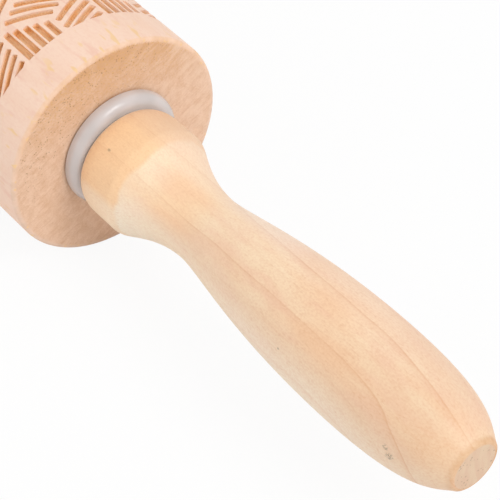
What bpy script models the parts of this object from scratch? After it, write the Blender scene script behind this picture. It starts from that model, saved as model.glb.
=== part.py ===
"""Embossed rolling pin: a turned wooden barrel that spins on a steel rod between two handles.

The pin lies along X and rests on Z = 0 with one flat side of the barrel. X = 0 is the middle of the barrel.
All sizes are in metres. Every piece is turned about its own local Z, which lies along X once it is placed.
"""
import math

import bmesh
import bpy
from mathutils import Matrix, Vector
from mathutils.geometry import interpolate_bezier

# Facets and clearances
ROUND_SIDES = 24
CURVE_POINTS = 7
EDGE_POINTS = 4
SMOOTH_ANGLE = math.radians(35)
WELD_DISTANCE = 0.00001
SEAT_GAP = 0.0003
RUNNING_GAP = 0.0003

# Barrel
BARREL_LENGTH = 0.160
BARREL_RADIUS = 0.0225
BARREL_EDGE_EASE = 0.0006
BARREL_BORE_CLEARANCE = 0.0012

# Engraved hatch: lozenge cells of three directions, six of them round each star, and every cell
# filled with grooves that run along one of its sides. The wooden pin has 5, 4 and 4 narrower ones.
CELL_SIDE = 0.0102
HATCH_MARGIN = 0.0092
GROOVE_WIDTH = 0.002
GROOVE_DEPTH = 0.0013
GROOVE_END_INSET = 0.00055
SHORTEST_GROOVE = 0.0015
CUT_OVERRUN = 0.001
GROOVES_IN_CELL = (3, 2, 2)
FEWEST_STARS_ROUND = 3
LOZENGE_ANGLE = math.pi / 3
HATCH_START_ANGLE = math.pi / 6

# Steel rod
ROD_RADIUS = 0.004
ROD_CHAMFER = 0.0005

# Nylon bushing: a flange that stands proud of the barrel, and a sleeve pressed into it
FLANGE_RADIUS = 0.0118
FLANGE_HEIGHT = 0.00265
FLANGE_SHOULDER = 0.0019
SLEEVE_RADIUS = 0.008
SLEEVE_LENGTH = 0.012

# Threaded insert in the handle's blind bore
INSERT_LENGTH = 0.012
INSERT_WALL = 0.0014
INSERT_CHAMFER = 0.0004

# Handle, from its base at the bushing to its free end
HANDLE_BASE_RADIUS = 0.00985
COLLAR_RADIUS = 0.01105
NECK_RADIUS = 0.0067
GRIP_RADIUS = 0.0104
HANDLE_END_RADIUS = 0.0048
BASE_TO_COLLAR = 0.0032
COLLAR_WIDTH = 0.0056
COLLAR_TO_NECK = 0.0153
NECK_TO_GRIP = 0.0406
GRIP_TO_END = 0.0272

# How far each stretch of the handle's outline leans on its ends, as shares of the stretch
BASE_RISE_SHARE = 0.5
BASE_COLLAR_SHARE = 0.6
COLLAR_NECK_SHARE = 0.08
NECK_COLLAR_SHARE = 0.54
NECK_GRIP_SHARE = 0.12
GRIP_NECK_SHARE = 0.56
GRIP_END_SHARE = 0.79
END_DEPTH_SHARE = 0.14
END_RISE_SHARE = 0.39

# Derived places, measured outwards from the barrel's end face
FLANGE_BASE = SEAT_GAP
HANDLE_BASE = FLANGE_BASE + FLANGE_HEIGHT + RUNNING_GAP
HANDLE_LENGTH = BASE_TO_COLLAR + COLLAR_WIDTH + COLLAR_TO_NECK + NECK_TO_GRIP + GRIP_TO_END
BARREL_HALF = BARREL_LENGTH / 2
INSERT_BORE_RADIUS = ROD_RADIUS + SEAT_GAP
INSERT_RADIUS = INSERT_BORE_RADIUS + INSERT_WALL
ROD_LENGTH = 2 * (BARREL_HALF + HANDLE_BASE + INSERT_LENGTH)
HALF_STEP = math.pi / ROUND_SIDES
AXIS_HEIGHT = BARREL_RADIUS * math.cos(HALF_STEP)
BARREL_GIRTH = 2 * math.pi * BARREL_RADIUS
HATCH_HALF = BARREL_HALF - HATCH_MARGIN

COLLECTION_NAME = "embossed_rolling_pin"
CUTTER_COLLECTION_NAME = "cutters"


def linear(channel):
    """Turns one sRGB channel (0 to 1) into the linear value that a shader takes."""
    if channel <= 0.04045:
        return channel / 12.92
    return ((channel + 0.055) / 1.055) ** 2.4


def make_material(name, hex_colour, roughness, metallic):
    """Makes a plain material from a colour written as six hex digits."""
    channels = [int(hex_colour[place:place + 2], 16) / 255 for place in (0, 2, 4)]
    material = bpy.data.materials.new(name)
    material.use_nodes = True
    shader = material.node_tree.nodes["Principled BSDF"]
    shader.inputs["Base Color"].default_value = (*[linear(channel) for channel in channels], 1)
    shader.inputs["Roughness"].default_value = roughness
    shader.inputs["Metallic"].default_value = metallic
    return material


def bezier(start, start_lean, end_lean, end):
    """Returns points (radius, height) along one curved stretch of an outline, both ends included."""
    knots = [Vector(point) for point in (start, start_lean, end_lean, end)]
    return [tuple(point) for point in interpolate_bezier(*knots, CURVE_POINTS)]


def quarter_round(centre, across, along, first_angle):
    """Returns points on a quarter ellipse round a centre, going clockwise from first_angle."""
    points = []
    for step in range(EDGE_POINTS):
        angle = first_angle - math.pi / 2 * step / (EDGE_POINTS - 1)
        points.append((centre[0] + across * math.cos(angle), centre[1] + along * math.sin(angle)))
    return points


def turn(name, outline, is_ring):
    """Turns an outline of (radius, height) points about local Z into one closed mesh.

    The outline runs down the outer side first. A ring's outline is closed, and a solid's
    outline starts and ends on the axis. A flat side, not a corner, faces down when placed.
    """
    profile = bpy.data.meshes.new(name + "_outline")
    corners = [(radius * math.cos(HALF_STEP), radius * math.sin(HALF_STEP), height)
               for radius, height in outline]
    edges = [(place, place + 1) for place in range(len(corners) - 1)]
    if is_ring:
        edges.append((len(corners) - 1, 0))
    profile.from_pydata(corners, edges, [])
    spun = bpy.data.objects.new(name, profile)
    bpy.context.scene.collection.objects.link(spun)
    screw = spun.modifiers.new("turn", "SCREW")
    screw.axis = "Z"
    screw.steps = ROUND_SIDES
    screw.render_steps = ROUND_SIDES
    screw.use_merge_vertices = True
    screw.merge_threshold = WELD_DISTANCE
    mesh = bpy.data.meshes.new_from_object(spun.evaluated_get(bpy.context.evaluated_depsgraph_get()))
    bpy.data.objects.remove(spun)
    bpy.data.meshes.remove(profile)
    mesh.name = name
    mesh.shade_smooth()
    mesh.set_sharp_from_angle(angle=SMOOTH_ANGLE)
    return mesh


def place(name, mesh, material, parent, offset, outward):
    """Adds a turned piece to the axle line, its local Z along +X (outward 1) or -X (outward -1)."""
    if not mesh.materials:
        mesh.materials.append(material)
    piece = bpy.data.objects.new(name, mesh)
    bpy.data.collections[COLLECTION_NAME].objects.link(piece)
    piece.parent = parent
    piece.location = (outward * offset, 0, 0)
    piece.rotation_euler = (0, outward * math.pi / 2, 0)
    return piece


def barrel_mesh():
    """Barrel: a cylinder with eased edges, a through bore and a pocket for a sleeve at each end."""
    inner = BARREL_HALF - BARREL_EDGE_EASE
    ease_radius = BARREL_RADIUS - BARREL_EDGE_EASE
    bore = ROD_RADIUS + BARREL_BORE_CLEARANCE
    pocket = SLEEVE_RADIUS + SEAT_GAP
    pocket_floor = BARREL_HALF - SLEEVE_LENGTH
    top_edge = quarter_round((ease_radius, inner), BARREL_EDGE_EASE, BARREL_EDGE_EASE, math.pi / 2)
    bottom_edge = quarter_round((ease_radius, -inner), BARREL_EDGE_EASE, BARREL_EDGE_EASE, 0)
    inside = [(pocket, -BARREL_HALF), (pocket, -pocket_floor), (bore, -pocket_floor),
              (bore, pocket_floor), (pocket, pocket_floor), (pocket, BARREL_HALF)]
    return turn("barrel", top_edge + bottom_edge + inside, is_ring=True)


def direction(steps):
    """Unit vector on the unrolled barrel, turned by a number of lozenge angles from the axle's direction."""
    return Vector((math.cos(steps * LOZENGE_ANGLE), math.sin(steps * LOZENGE_ANGLE)))


def groove_lines():
    """Lists each groove's middle, direction and length on the unrolled barrel, as (along, round) places.

    The stars stand in columns along the barrel, each column shifted by half a star, and a whole
    number of stars goes round. Each star owns three of its six cells, one of each direction.
    """
    stars_round = max(FEWEST_STARS_ROUND, round(BARREL_GIRTH / (math.sqrt(3) * CELL_SIDE)))
    side = BARREL_GIRTH / (math.sqrt(3) * stars_round)
    columns = math.ceil(HATCH_HALF / side)
    grooves = []
    for column in range(-columns, columns + 1):
        for row in range(stars_round):
            star = column * side * (direction(0) + direction(1)) + row * side * (direction(1) + direction(2))
            for cell, count in enumerate(GROOVES_IN_CELL):
                along = side * direction(cell)
                across = side * direction(cell + 1)
                for groove in range(count):
                    middle = star + along / 2 + across * (2 * groove + 1) / (2 * count)
                    grooves.append((middle, direction(cell), side - 2 * GROOVE_END_INSET))
    return grooves


def unit_wedge():
    """A cube whose lower side is drawn together into one line: the V of a groove, one unit each way."""
    wedge = bmesh.new()
    bmesh.ops.create_cube(wedge, size=1)
    for corner in wedge.verts:
        if corner.co.z < 0:
            corner.co.y = 0
    bmesh.ops.remove_doubles(wedge, verts=wedge.verts, dist=WELD_DISTANCE)
    mesh = bpy.data.meshes.new("unit_wedge")
    wedge.to_mesh(mesh)
    wedge.free()
    return mesh


def wedge_matrix(middle, heading, length):
    """Places the unit wedge on the barrel's surface, about the barrel's local Z."""
    angle = HATCH_START_ANGLE - middle.y / BARREL_RADIUS
    outward = Vector((math.cos(angle), math.sin(angle), 0))
    axle = Vector((0, 0, 1))
    forward = heading.x * axle + heading.y * outward.cross(axle)
    height = GROOVE_DEPTH + CUT_OVERRUN
    top_width = GROOVE_WIDTH * height / GROOVE_DEPTH
    centre = (BARREL_RADIUS - GROOVE_DEPTH + height / 2) * outward + middle.x * axle
    columns = (length * forward, top_width * outward.cross(forward), height * outward)
    return Matrix.Translation(centre) @ Matrix(columns).transposed().to_4x4()


def hatch_cutter_mesh():
    """Joins the wedges of all grooves and trims them square at the plain margins."""
    wedge = unit_wedge()
    wedges = bmesh.new()
    for middle, heading, length in groove_lines():
        reach = abs(heading.x) * length / 2
        kept = min(middle.x + reach, HATCH_HALF) - max(middle.x - reach, -HATCH_HALF)
        if kept < SHORTEST_GROOVE:
            continue
        first = len(wedges.verts)
        wedges.from_mesh(wedge)
        wedges.verts.ensure_lookup_table()
        bmesh.ops.transform(wedges, matrix=wedge_matrix(middle, heading, length), verts=wedges.verts[first:])
    bpy.data.meshes.remove(wedge)
    for end in (-1, 1):
        everything = wedges.verts[:] + wedges.edges[:] + wedges.faces[:]
        bmesh.ops.bisect_plane(wedges, geom=everything, plane_co=(0, 0, end * HATCH_HALF),
                               plane_no=(0, 0, end), clear_outer=True)
        open_edges = [edge for edge in wedges.edges if edge.is_boundary]
        bmesh.ops.holes_fill(wedges, edges=open_edges, sides=0)
    bmesh.ops.recalc_face_normals(wedges, faces=wedges.faces)
    mesh = bpy.data.meshes.new("hatch_cutter")
    wedges.to_mesh(mesh)
    wedges.free()
    return mesh


def bushing_mesh():
    """Nylon bushing: a round-shouldered flange above local Z = 0 and a sleeve below it."""
    bore = ROD_RADIUS + RUNNING_GAP
    shoulder_centre = (FLANGE_RADIUS - FLANGE_SHOULDER, FLANGE_HEIGHT - FLANGE_SHOULDER)
    shoulder = quarter_round(shoulder_centre, FLANGE_SHOULDER, FLANGE_SHOULDER, math.pi / 2)
    rest = [(FLANGE_RADIUS, 0), (SLEEVE_RADIUS, 0), (SLEEVE_RADIUS, -SLEEVE_LENGTH),
            (bore, -SLEEVE_LENGTH), (bore, FLANGE_HEIGHT)]
    return turn("bushing", shoulder + rest, is_ring=True)


def insert_mesh():
    """Threaded insert: a plain tube from local Z = 0 inwards, chamfered at its leading end."""
    chamfer_start = INSERT_LENGTH - INSERT_CHAMFER
    outline = [(INSERT_RADIUS - INSERT_CHAMFER, INSERT_LENGTH), (INSERT_RADIUS, chamfer_start),
               (INSERT_RADIUS, 0), (INSERT_BORE_RADIUS, 0), (INSERT_BORE_RADIUS, INSERT_LENGTH)]
    return turn("handle_insert", outline, is_ring=True)


def handle_mesh():
    """Handle: collar, neck and club-shaped grip from local Z = 0 to the flat end, with a blind bore.

    The collar is straight for its width and then drops to the neck over a soft shoulder.
    """
    collar_at = BASE_TO_COLLAR
    shoulder_at = collar_at + COLLAR_WIDTH
    neck_at = shoulder_at + COLLAR_TO_NECK
    grip_at = neck_at + NECK_TO_GRIP
    end_at = grip_at + GRIP_TO_END
    end_rise = END_RISE_SHARE * (GRIP_RADIUS - HANDLE_END_RADIUS)
    base_rise = BASE_RISE_SHARE * (COLLAR_RADIUS - HANDLE_BASE_RADIUS)
    end_to_grip = bezier((HANDLE_END_RADIUS, end_at),
                         (HANDLE_END_RADIUS + end_rise, end_at - END_DEPTH_SHARE * GRIP_TO_END),
                         (GRIP_RADIUS, grip_at + GRIP_END_SHARE * GRIP_TO_END),
                         (GRIP_RADIUS, grip_at))
    grip_to_neck = bezier((GRIP_RADIUS, grip_at),
                          (GRIP_RADIUS, grip_at - GRIP_NECK_SHARE * NECK_TO_GRIP),
                          (NECK_RADIUS, neck_at + NECK_GRIP_SHARE * NECK_TO_GRIP),
                          (NECK_RADIUS, neck_at))
    neck_to_collar = bezier((NECK_RADIUS, neck_at),
                            (NECK_RADIUS, neck_at - NECK_COLLAR_SHARE * COLLAR_TO_NECK),
                            (COLLAR_RADIUS, shoulder_at + COLLAR_NECK_SHARE * COLLAR_TO_NECK),
                            (COLLAR_RADIUS, shoulder_at))
    collar_to_base = bezier((COLLAR_RADIUS, collar_at),
                            (COLLAR_RADIUS, collar_at - BASE_COLLAR_SHARE * BASE_TO_COLLAR),
                            (HANDLE_BASE_RADIUS + base_rise, 0),
                            (HANDLE_BASE_RADIUS, 0))
    bore_radius = INSERT_RADIUS + SEAT_GAP
    bore_depth = INSERT_LENGTH + SEAT_GAP
    outline = [(0, end_at)] + end_to_grip + grip_to_neck[1:] + neck_to_collar[1:] + collar_to_base
    outline += [(bore_radius, 0), (bore_radius, bore_depth), (0, bore_depth)]
    return turn("handle", outline, is_ring=False)


def rod_mesh():
    """Steel rod: a plain shaft with chamfered ends, centred on local Z = 0."""
    half = ROD_LENGTH / 2
    outline = [(0, half), (ROD_RADIUS - ROD_CHAMFER, half), (ROD_RADIUS, half - ROD_CHAMFER),
               (ROD_RADIUS, ROD_CHAMFER - half), (ROD_RADIUS - ROD_CHAMFER, -half), (0, -half)]
    return turn("axle_rod", outline, is_ring=False)


def engrave(barrel):
    """Cuts the hatch into the barrel."""
    cutter = bpy.data.objects.new("hatch_cutter", hatch_cutter_mesh())
    bpy.data.collections[CUTTER_COLLECTION_NAME].objects.link(cutter)
    cutter.parent = barrel.parent
    cutter.rotation_euler = barrel.rotation_euler
    cutter.hide_render = True
    cutter.display_type = "WIRE"
    cut = barrel.modifiers.new("engrave", "BOOLEAN")
    cut.operation = "DIFFERENCE"
    cut.solver = "EXACT"
    cut.object = cutter


def add_empty(name, location):
    """Adds an empty that carries pieces."""
    empty = bpy.data.objects.new(name, None)
    bpy.data.collections[COLLECTION_NAME].objects.link(empty)
    empty.location = location
    return empty


def build():
    """Builds the whole rolling pin."""
    for leftover in list(bpy.data.objects):
        bpy.data.objects.remove(leftover)
    for name in (COLLECTION_NAME, CUTTER_COLLECTION_NAME):
        bpy.context.scene.collection.children.link(bpy.data.collections.new(name))
    barrel_wood = make_material("barrel_wood", "F3D5C0", 0.55, 0)
    handle_wood = make_material("handle_wood", "F3D0A8", 0.5, 0)
    nylon = make_material("bushing_nylon", "D5D0D2", 0.3, 0)
    steel = make_material("rod_steel", "B4B6B8", 0.3, 1)
    brass = make_material("insert_brass", "C9A659", 0.35, 1)

    handle_frame = add_empty("handle_axis", (0, 0, AXIS_HEIGHT))
    spin_axis = add_empty("barrel_spin_axis", (0, 0, AXIS_HEIGHT))
    place("axle_rod", rod_mesh(), steel, handle_frame, 0, 1)
    barrel = place("barrel", barrel_mesh(), barrel_wood, spin_axis, 0, 1)
    engrave(barrel)
    bushing = bushing_mesh()
    insert = insert_mesh()
    handle = handle_mesh()
    for side, outward in (("left", -1), ("right", 1)):
        place("bushing_" + side, bushing, nylon, spin_axis, BARREL_HALF + FLANGE_BASE, outward)
        place("handle_insert_" + side, insert, brass, handle_frame, BARREL_HALF + HANDLE_BASE, outward)
        place("handle_" + side, handle, handle_wood, handle_frame, BARREL_HALF + HANDLE_BASE, outward)


build()
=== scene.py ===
"""Looks of the embossed rolling pin: its fine pieces, its wood, nylon and metal, light and camera.

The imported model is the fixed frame. The barrel, bushings and handles are modelled again here,
with round sides and the full engraved hatch, and they take their places from the frame.
All lengths are in metres, and MM turns a size in millimetres into metres.
"""
import logging
import math
from collections.abc import Callable, Sequence
from dataclasses import dataclass
from enum import Enum
from functools import partial

import bmesh
import bpy
from mathutils import Matrix, Vector
from mathutils.geometry import interpolate_bezier


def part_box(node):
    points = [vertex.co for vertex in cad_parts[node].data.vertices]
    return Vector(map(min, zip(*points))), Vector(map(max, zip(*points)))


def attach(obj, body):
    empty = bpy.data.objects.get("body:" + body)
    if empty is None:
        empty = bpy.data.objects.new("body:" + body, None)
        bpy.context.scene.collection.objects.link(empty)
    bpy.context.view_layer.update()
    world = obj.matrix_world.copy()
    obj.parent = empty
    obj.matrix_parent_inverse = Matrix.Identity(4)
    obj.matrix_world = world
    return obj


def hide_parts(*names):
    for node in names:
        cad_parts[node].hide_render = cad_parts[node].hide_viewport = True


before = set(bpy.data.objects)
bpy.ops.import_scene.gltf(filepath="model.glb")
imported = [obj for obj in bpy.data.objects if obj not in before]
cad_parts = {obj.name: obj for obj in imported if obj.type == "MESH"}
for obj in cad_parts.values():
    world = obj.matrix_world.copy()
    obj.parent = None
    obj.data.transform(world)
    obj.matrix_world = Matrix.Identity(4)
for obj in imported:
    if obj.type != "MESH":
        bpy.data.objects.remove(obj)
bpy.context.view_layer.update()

MM = 0.001
WELD_DISTANCE = 0.002 * MM
# Edges that turn by less than this are shaded smooth
SMOOTH_ANGLE = math.radians(35)
# A face looks in a direction when its normal has this much of it
FACING = 0.99
# Reach at which the collar of a handle ends
COLLAR_END = 94.4 * MM
# Angle at which the rays and streaks lie on the barrel's ends
END_TURN = math.radians(26)
# The share of a pore's width that is fully dark, and how strongly a pore shows
PORE_CORE = 0.4
PORE_STRENGTH = 0.6
# Sockets of a node that mixes two colours: the share of the upper one, both colours, and the result
SHARE, BELOW, ABOVE, MIXED = 0, 6, 7, 2

Outline = list[tuple[float, float]]
Socket = bpy.types.NodeSocket
# Where a change starts, and where it is complete
Zone = tuple[float, float]

log = logging.getLogger("rolling_pin")


class Side(Enum):
    """The two ends of the pin, each with the sign of its direction along X."""

    LEFT = -1
    RIGHT = 1

    def node(self, kind: str) -> str:
        """Returns the name of this end's node of a kind."""
        return f"{kind}_{self.name.lower()}"


class Body(Enum):
    """The two bodies that the joint turns against each other."""

    HANDLES = "handles"
    ROLLER = "roller"


class Element(Enum):
    """What a mesh is made of, each with its list's name in the mesh."""

    VERT = "verts"
    EDGE = "edges"
    FACE = "faces"


# Helpers for operators


def deselect_all() -> None:
    """Leaves edit mode and deselects every object."""
    if bpy.context.object is not None and bpy.context.object.mode != "OBJECT":
        bpy.ops.object.mode_set(mode="OBJECT")
    bpy.ops.object.select_all(action="DESELECT")


def take(piece: bpy.types.Object) -> None:
    """Makes a piece the only selected and the active object."""
    deselect_all()
    piece.select_set(True)
    bpy.context.view_layer.objects.active = piece


def select(element: Element, test: Callable[..., bool]) -> None:
    """Selects, in edit mode, just the elements of one kind that pass a test.

    Args:
        element: the kind.
        test: says of an element whether it is taken.
    """
    mesh = bpy.context.object.data
    bpy.ops.mesh.select_mode(type=element.name)
    bpy.ops.mesh.select_all(action="DESELECT")
    shape = bmesh.from_edit_mesh(mesh)
    for item in getattr(shape, element.value):
        item.select_set(test(item))
    bmesh.update_edit_mesh(mesh)


def settle(piece: bpy.types.Object) -> None:
    """Puts a finished piece's place into its mesh and shades it."""
    take(piece)
    bpy.ops.object.transform_apply(location=True, rotation=True, scale=True)
    bpy.ops.object.shade_smooth_by_angle(angle=SMOOTH_ANGLE)


def mount(piece: bpy.types.Object, node: str, body: Body, material: bpy.types.Material) -> None:
    """Dresses a new piece and puts it in its node's place on the frame.

    Args:
        piece: the new piece.
        node: the node that it stands for.
        body: the body that it rides on.
        material: its finish.
    """
    piece.data.materials.clear()
    piece.data.materials.append(material)
    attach(piece, body.value)
    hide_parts(node)
    log.info("%s: %d faces, stands for %s", piece.name, len(piece.data.polygons), node)


# Helpers for finishes


def mm(*sizes: float) -> tuple[float, ...]:
    """Turns sizes in millimetres into metres."""
    return tuple(size * MM for size in sizes)


def linear_colour(hex_colour: str) -> tuple[float, float, float, float]:
    """Turns six sRGB hex digits into the linear colour that a shader takes.

    Args:
        hex_colour: red, green and blue, two digits each.

    Returns:
        The linear channels, with an alpha of 1.
    """
    # The curve of the sRGB standard
    channels = []
    for place in (0, 2, 4):
        share = int(hex_colour[place:place + 2], 16) / 255
        channels.append(share / 12.92 if share <= 0.04045 else ((share + 0.055) / 1.055) ** 2.4)
    return channels[0], channels[1], channels[2], 1.0


def add_node(tree: bpy.types.NodeTree, kind: str, inputs: dict | None = None, output: int | str = 0,
             **settings) -> Socket | None:
    """Adds a node with its settings and links.

    Args:
        tree: the node tree.
        kind: the node's type without the leading ShaderNode.
        inputs: for each input, by name or number, a socket to link, a colour's hex digits or a value.
        output: the output to return, by name or number.
        settings: the node's own properties.

    Returns:
        The output, or None where the node has none.
    """
    node = tree.nodes.new("ShaderNode" + kind)
    for name, value in settings.items():
        setattr(node, name, value)
    for key, value in (inputs or {}).items():
        if isinstance(value, Socket):
            tree.links.new(value, node.inputs[key])
        else:
            node.inputs[key].default_value = linear_colour(value) if isinstance(value, str) else value
    return node.outputs[output] if node.outputs else None


class Way(Enum):
    """The measures of a point on the pin that a ramp can follow."""

    REACH = "distance from the middle of the pin along the axle"
    ACROSS = "distance across the axle, positive towards the back"
    UP = "height above the axle"
    RADIUS = "distance from the axle"
    DEPTH = "distance across the growth layers of a handle"
    OFF_MIDDLE = "distance from the growth layer on the axle"
    COLLAR_REACH = "reach, made to wander slowly, as the end of the collar's colour does"


@dataclass(frozen=True)
class Noise:
    """Soft patches of a real size.

    Attributes:
        size: size of a patch along the axle, across it and upwards; zero leaves a direction out.
        detail: how many finer layers are added.
        turn: angle that tips the patches about the axle.
    """

    size: tuple[float, ...]
    detail: float = 2
    turn: float = 0


@dataclass(frozen=True)
class Ramp:
    """How strongly something shows, as it changes between two values of a source.

    Attributes:
        source: the noise, the measure or the socket that it follows.
        start: the source's value where the change starts.
        end: the source's value where it is complete.
        least: how strongly it shows at the start.
        most: how strongly it shows at the end.
        soft: whether the change starts and ends gently.
    """

    source: Noise | Way | Socket
    start: float | Socket = 0.3
    end: float | Socket = 0.7
    least: float = 0
    most: float = 1
    soft: bool = True


class Coat:
    """A colour that lies over others, as strongly as all its patterns show together."""

    def __init__(self, colour: str | Socket, *patterns: Ramp | Socket) -> None:
        """Keeps the colour and its patterns.

        Args:
            colour: sRGB hex digits, or the socket of a colour.
            patterns: ramps, or sockets that hold a share.
        """
        self.colour = colour
        self.patterns = patterns


class Recipe:
    """A finish in the making.

    Attributes:
        material: the material that it makes.
        add: adds a node to it.
        place: the point on the pin, counted from the axle.
        measures: the measures of that point.
    """

    def __init__(self, name: str, axle_height: float) -> None:
        """Starts an empty material.

        Args:
            name: the material's name.
            axle_height: height of the axle over the floor.
        """
        self.material = bpy.data.materials.new(name)
        self.material.use_nodes = True
        self.material.node_tree.nodes.clear()
        self.add = partial(add_node, self.material.node_tree)
        point = self.add("TexCoord", output="Object")
        self.place = self.add("Mapping", {"Vector": point, "Location": (0, 0, -axle_height)})
        along, across, up = (self.add("SeparateXYZ", {0: self.place}, output=axis) for axis in "XYZ")
        sideways = self.add("VectorMath", {0: self.place, 1: (0, 1, 1)}, operation="MULTIPLY")
        self.measures = {
            Way.REACH: self.add("Math", {0: along}, operation="ABSOLUTE"),
            Way.ACROSS: across,
            Way.UP: up,
            Way.RADIUS: self.add("VectorMath", {0: sideways}, output="Value", operation="LENGTH"),
        }

    def read(self, source: Noise | Way | Socket) -> Socket:
        """Finds the number that a ramp follows.

        Args:
            source: noise, a measure or a socket.

        Returns:
            The number's socket.
        """
        if isinstance(source, Noise):
            point = self.add("Mapping", {"Vector": self.place, "Scale": source.size,
                                         "Rotation": (source.turn, 0, 0)}, vector_type="TEXTURE")
            return self.add("TexNoise", {"Vector": point, "Scale": 1, "Detail": source.detail})
        return self.measures[source] if isinstance(source, Way) else source

    def show(self, *patterns: Ramp | Socket) -> Socket:
        """Works out how strongly something shows that several patterns cut down.

        Args:
            patterns: ramps, or sockets that hold a share.

        Returns:
            The product of all patterns.
        """
        shown = None
        for share in patterns:
            if isinstance(share, Ramp):
                share = self.add("MapRange", {"Value": self.read(share.source), "From Min": share.start,
                                              "From Max": share.end, "To Min": share.least,
                                              "To Max": share.most},
                                 interpolation_type="SMOOTHSTEP" if share.soft else "LINEAR")
            shown = share if shown is None else self.add("Math", {0: shown, 1: share}, operation="MULTIPLY")
        return shown

    def lay(self, colour: str | Socket, *coats: Coat) -> Socket:
        """Lays coats over a ground.

        Args:
            colour: the ground's colour.
            coats: the coats, from the lowest to the highest.

        Returns:
            The colour that results.
        """
        for coat in coats:
            colour = self.add("Mix", {SHARE: self.show(*coat.patterns), BELOW: colour, ABOVE: coat.colour},
                              output=MIXED, data_type="RGBA")
        return colour

    def pores(self, spacing: float, width: float, crowd: Ramp | Socket) -> Socket:
        """Scatters the cut ends of the wood's vessels over end grain.

        Args:
            spacing: distance from one pore to the next.
            width: width of a pore.
            crowd: how much of the pores shows here, 0 to 1.

        Returns:
            How strongly a pore shows.
        """
        point = self.add("Mapping", {"Vector": self.place, "Scale": (0, spacing, spacing)},
                         vector_type="TEXTURE")
        distance = self.add("TexVoronoi", {"Vector": point, "Scale": 1}, output="Distance")
        reach = self.add("Math", {0: self.show(crowd), 1: width / spacing}, operation="MULTIPLY")
        core = self.add("Math", {0: reach, 1: PORE_CORE}, operation="MULTIPLY")
        return self.show(Ramp(distance, reach, core, most=PORE_STRENGTH))

    def finish(self, inputs: dict, height: Socket, depth: float) -> bpy.types.Material:
        """Adds the bump, the shader and the output.

        Args:
            inputs: the shader's inputs, apart from the normal.
            height: height of the relief, 0 to 1.
            depth: how deep the relief is.

        Returns:
            The finished material.
        """
        normal = self.add("Bump", {"Height": height, "Distance": depth, "Strength": 1})
        self.add("OutputMaterial", {"Surface": self.add("BsdfPrincipled", inputs | {"Normal": normal})})
        return self.material


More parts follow.
